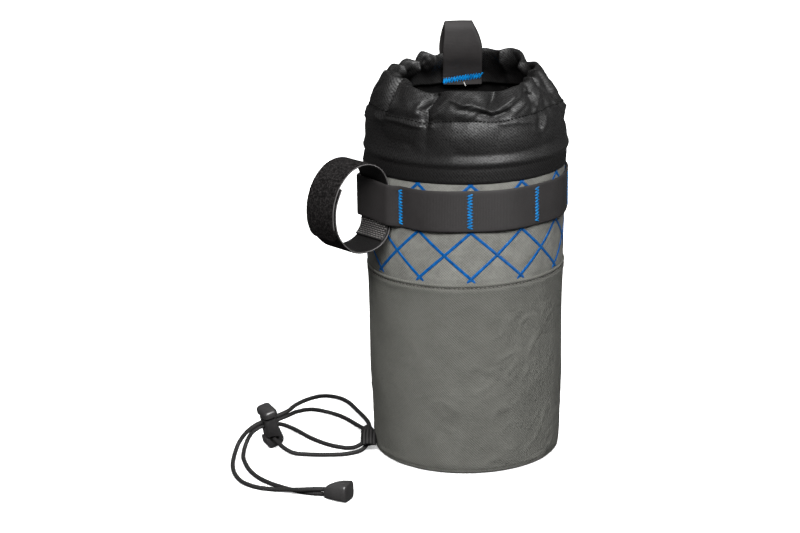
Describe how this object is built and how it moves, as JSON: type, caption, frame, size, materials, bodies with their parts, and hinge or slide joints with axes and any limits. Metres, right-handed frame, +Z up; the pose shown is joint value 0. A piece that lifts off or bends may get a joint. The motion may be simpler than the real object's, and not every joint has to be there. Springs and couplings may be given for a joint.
{
  "type": "stem bag",
  "caption": "Padded cylindrical stem bag with a gathered black collar, webbing loop band, hook-and-loop strap ring, rear pull loop and a shock cord with a sprung lock.",
  "frame": {"origin": "middle of the base panel's underside, on the surface the bag stands on", "axes": "+Z up along the bag, -Y the front with the strap ring at its left, +X to the right seen from the front"},
  "size_m": [0.212, 0.1818, 0.2639],
  "materials": {
    "base_cloth": "coated nylon, matte",
    "lower_cloth": "fine diagonal weave, matte",
    "upper_cloth": "plain weave, matte, blue embroidered lattice",
    "collar_cloth": "black nylon, slight sheen",
    "webbing": "black webbing, blue bar tacks",
    "strap_pile": "loop pile outside, smooth inside",
    "grip": "ribbed",
    "shock_cord": "braided",
    "moulding": "satin moulded plastic"
  },
  "bodies": {
    "bag": {"base_panel": "base_cloth", "lower_body": "lower_cloth", "upper_body": "upper_cloth", "collar": "collar_cloth", "webbing_band": "webbing", "strap": "strap_pile", "strap_grip": "grip", "pull_loop": "webbing", "cord_tab": "webbing", "cord": "shock_cord", "cord_lock_body": "moulding", "cord_end": "moulding"},
    "lock_button": {"cord_lock_button": "moulding"}
  },
  "joints": [
    {"name": "button_press", "type": "slide", "parent": "bag", "child": "lock_button", "axis": [0.0996, 0.2382, -0.9661], "range_m": [0, 0.0016], "stiffness_N_per_m": 900}
  ]
}
